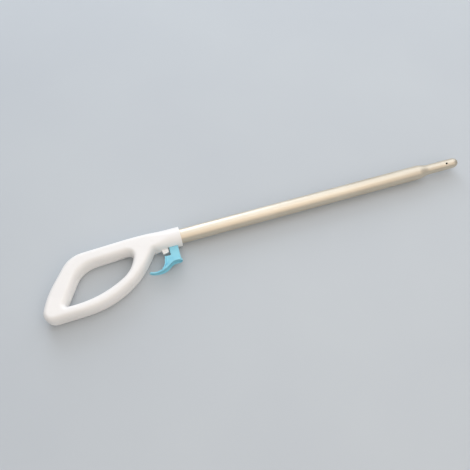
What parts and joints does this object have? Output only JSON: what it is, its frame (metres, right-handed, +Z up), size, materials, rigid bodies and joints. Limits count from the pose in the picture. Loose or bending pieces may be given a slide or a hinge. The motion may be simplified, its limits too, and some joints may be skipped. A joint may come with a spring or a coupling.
{
  "type": "reacher grabber",
  "caption": "Handle section of a reacher grabber: closed-loop hand grip, sprung finger trigger and a straight round tube with a push rod inside, necked down to a rounded spigot.",
  "frame": {"origin": "middle of the overall length and width, on the plane that the flat underside of the handle rests on", "axes": "+X along the tube from the handle to the spigot, +Z up through the thickness of the handle as it lies flat, the loop of the handle on the -Y side"},
  "size_m": [0.6642, 0.0956, 0.0296],
  "materials": {
    "white_abs": "moulded white ABS, satin gloss",
    "blue_abs": "moulded light blue ABS, satin gloss",
    "satin_aluminium": "drawn tube, satin anodised in a warm silver",
    "bright_steel": "bright drawn steel",
    "zinc_plate": "zinc plated steel",
    "natural_nylon": "natural nylon"
  },
  "bodies": {
    "handle": {"handle_shell_upper": "white_abs", "handle_shell_lower": "white_abs", "main_tube": "satin_aluminium", "trigger_pivot_pin": "bright_steel", "return_spring": "bright_steel", "rod_guide_rear": "natural_nylon", "rod_guide_middle": "natural_nylon", "rod_guide_front": "natural_nylon", "tube_rear_plug": "natural_nylon", "tube_dowel": "bright_steel", "handle_screw_1": "zinc_plate", "handle_screw_2": "zinc_plate", "handle_screw_3": "zinc_plate", "handle_screw_4": "zinc_plate", "handle_screw_5": "zinc_plate", "handle_screw_6": "zinc_plate"},
    "trigger": {"trigger": "blue_abs"},
    "rod": {"crosshead": "natural_nylon", "push_rod": "bright_steel", "rod_lock_nut": "zinc_plate", "spring_washer": "zinc_plate", "rod_tip_cap": "natural_nylon"}
  },
  "joints": [
    {"name": "trigger_swing", "type": "hinge", "parent": "handle", "child": "trigger", "pos_m": [-0.13638, 0.0265, 0.0148], "axis": [0, 0, -1], "range_deg": [0, 6.2], "stiffness_Nm_per_rad": 0.1, "springref_deg": -11.46},
    {"name": "rod_slide", "type": "slide", "parent": "handle", "child": "rod", "axis": [1, 0, 0], "range_m": [0, 0.00126], "deforming": ["return_spring"]}
  ],
  "couplings": [
    {"joint": "trigger_swing", "follows": "rod_slide", "rad_per_m": 83.333}
  ]
}
